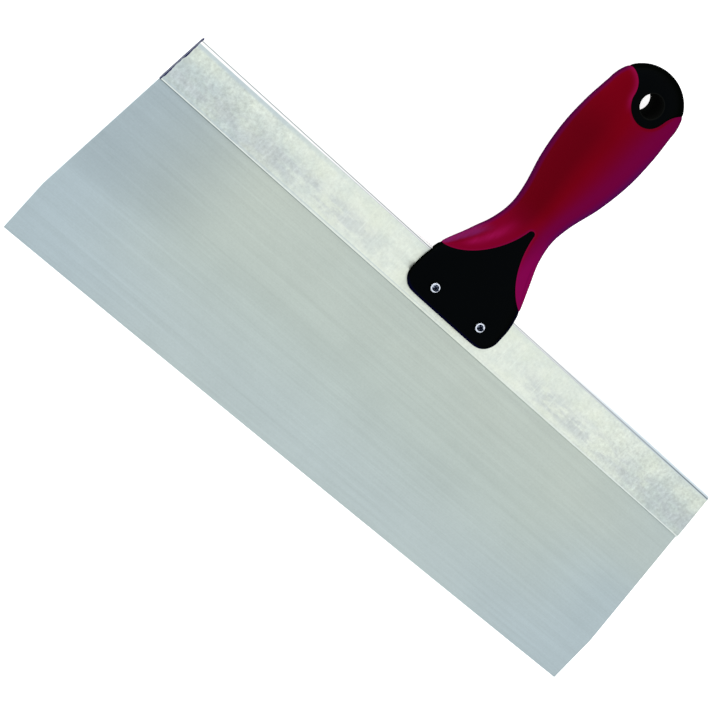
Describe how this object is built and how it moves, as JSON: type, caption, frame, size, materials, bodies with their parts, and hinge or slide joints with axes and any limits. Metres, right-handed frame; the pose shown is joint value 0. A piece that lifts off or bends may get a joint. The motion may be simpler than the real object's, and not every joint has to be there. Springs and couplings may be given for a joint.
{
  "type": "drywall taping knife",
  "caption": "Wide flexible sheet steel finishing blade, stiffened by a folded metal backing and riveted into a two-material soft-grip handle with a hang hole.",
  "frame": {"origin": "middle of the working edge, halfway through the blade's thickness", "axes": "+X along the working edge to the right when the front is seen with the handle up, +Y from the working edge up the handle, +Z out of the front face"},
  "size_m": [0.3048, 0.212, 0.0236],
  "materials": {
    "blade_steel": "cold-rolled spring steel, fine straight grain along the working edge, cool grey with a green cast",
    "backing_zinc": "zinc-coated sheet steel, pale and softly mottled, bright rolled fold",
    "core_plastic": "black moulded plastic, satin with a very fine texture",
    "grip_rubber": "deep red overmoulded soft rubber, matt with a soft sheen at the edges",
    "rivet_nickel": "nickel-plated steel, bright rolled rim"
  },
  "bodies": {
    "root": {"blade": "blade_steel", "backing": "backing_zinc", "handle_core": "core_plastic", "soft_grip": "grip_rubber", "rivet_left": "rivet_nickel", "rivet_right": "rivet_nickel"}
  },
  "joints": []
}
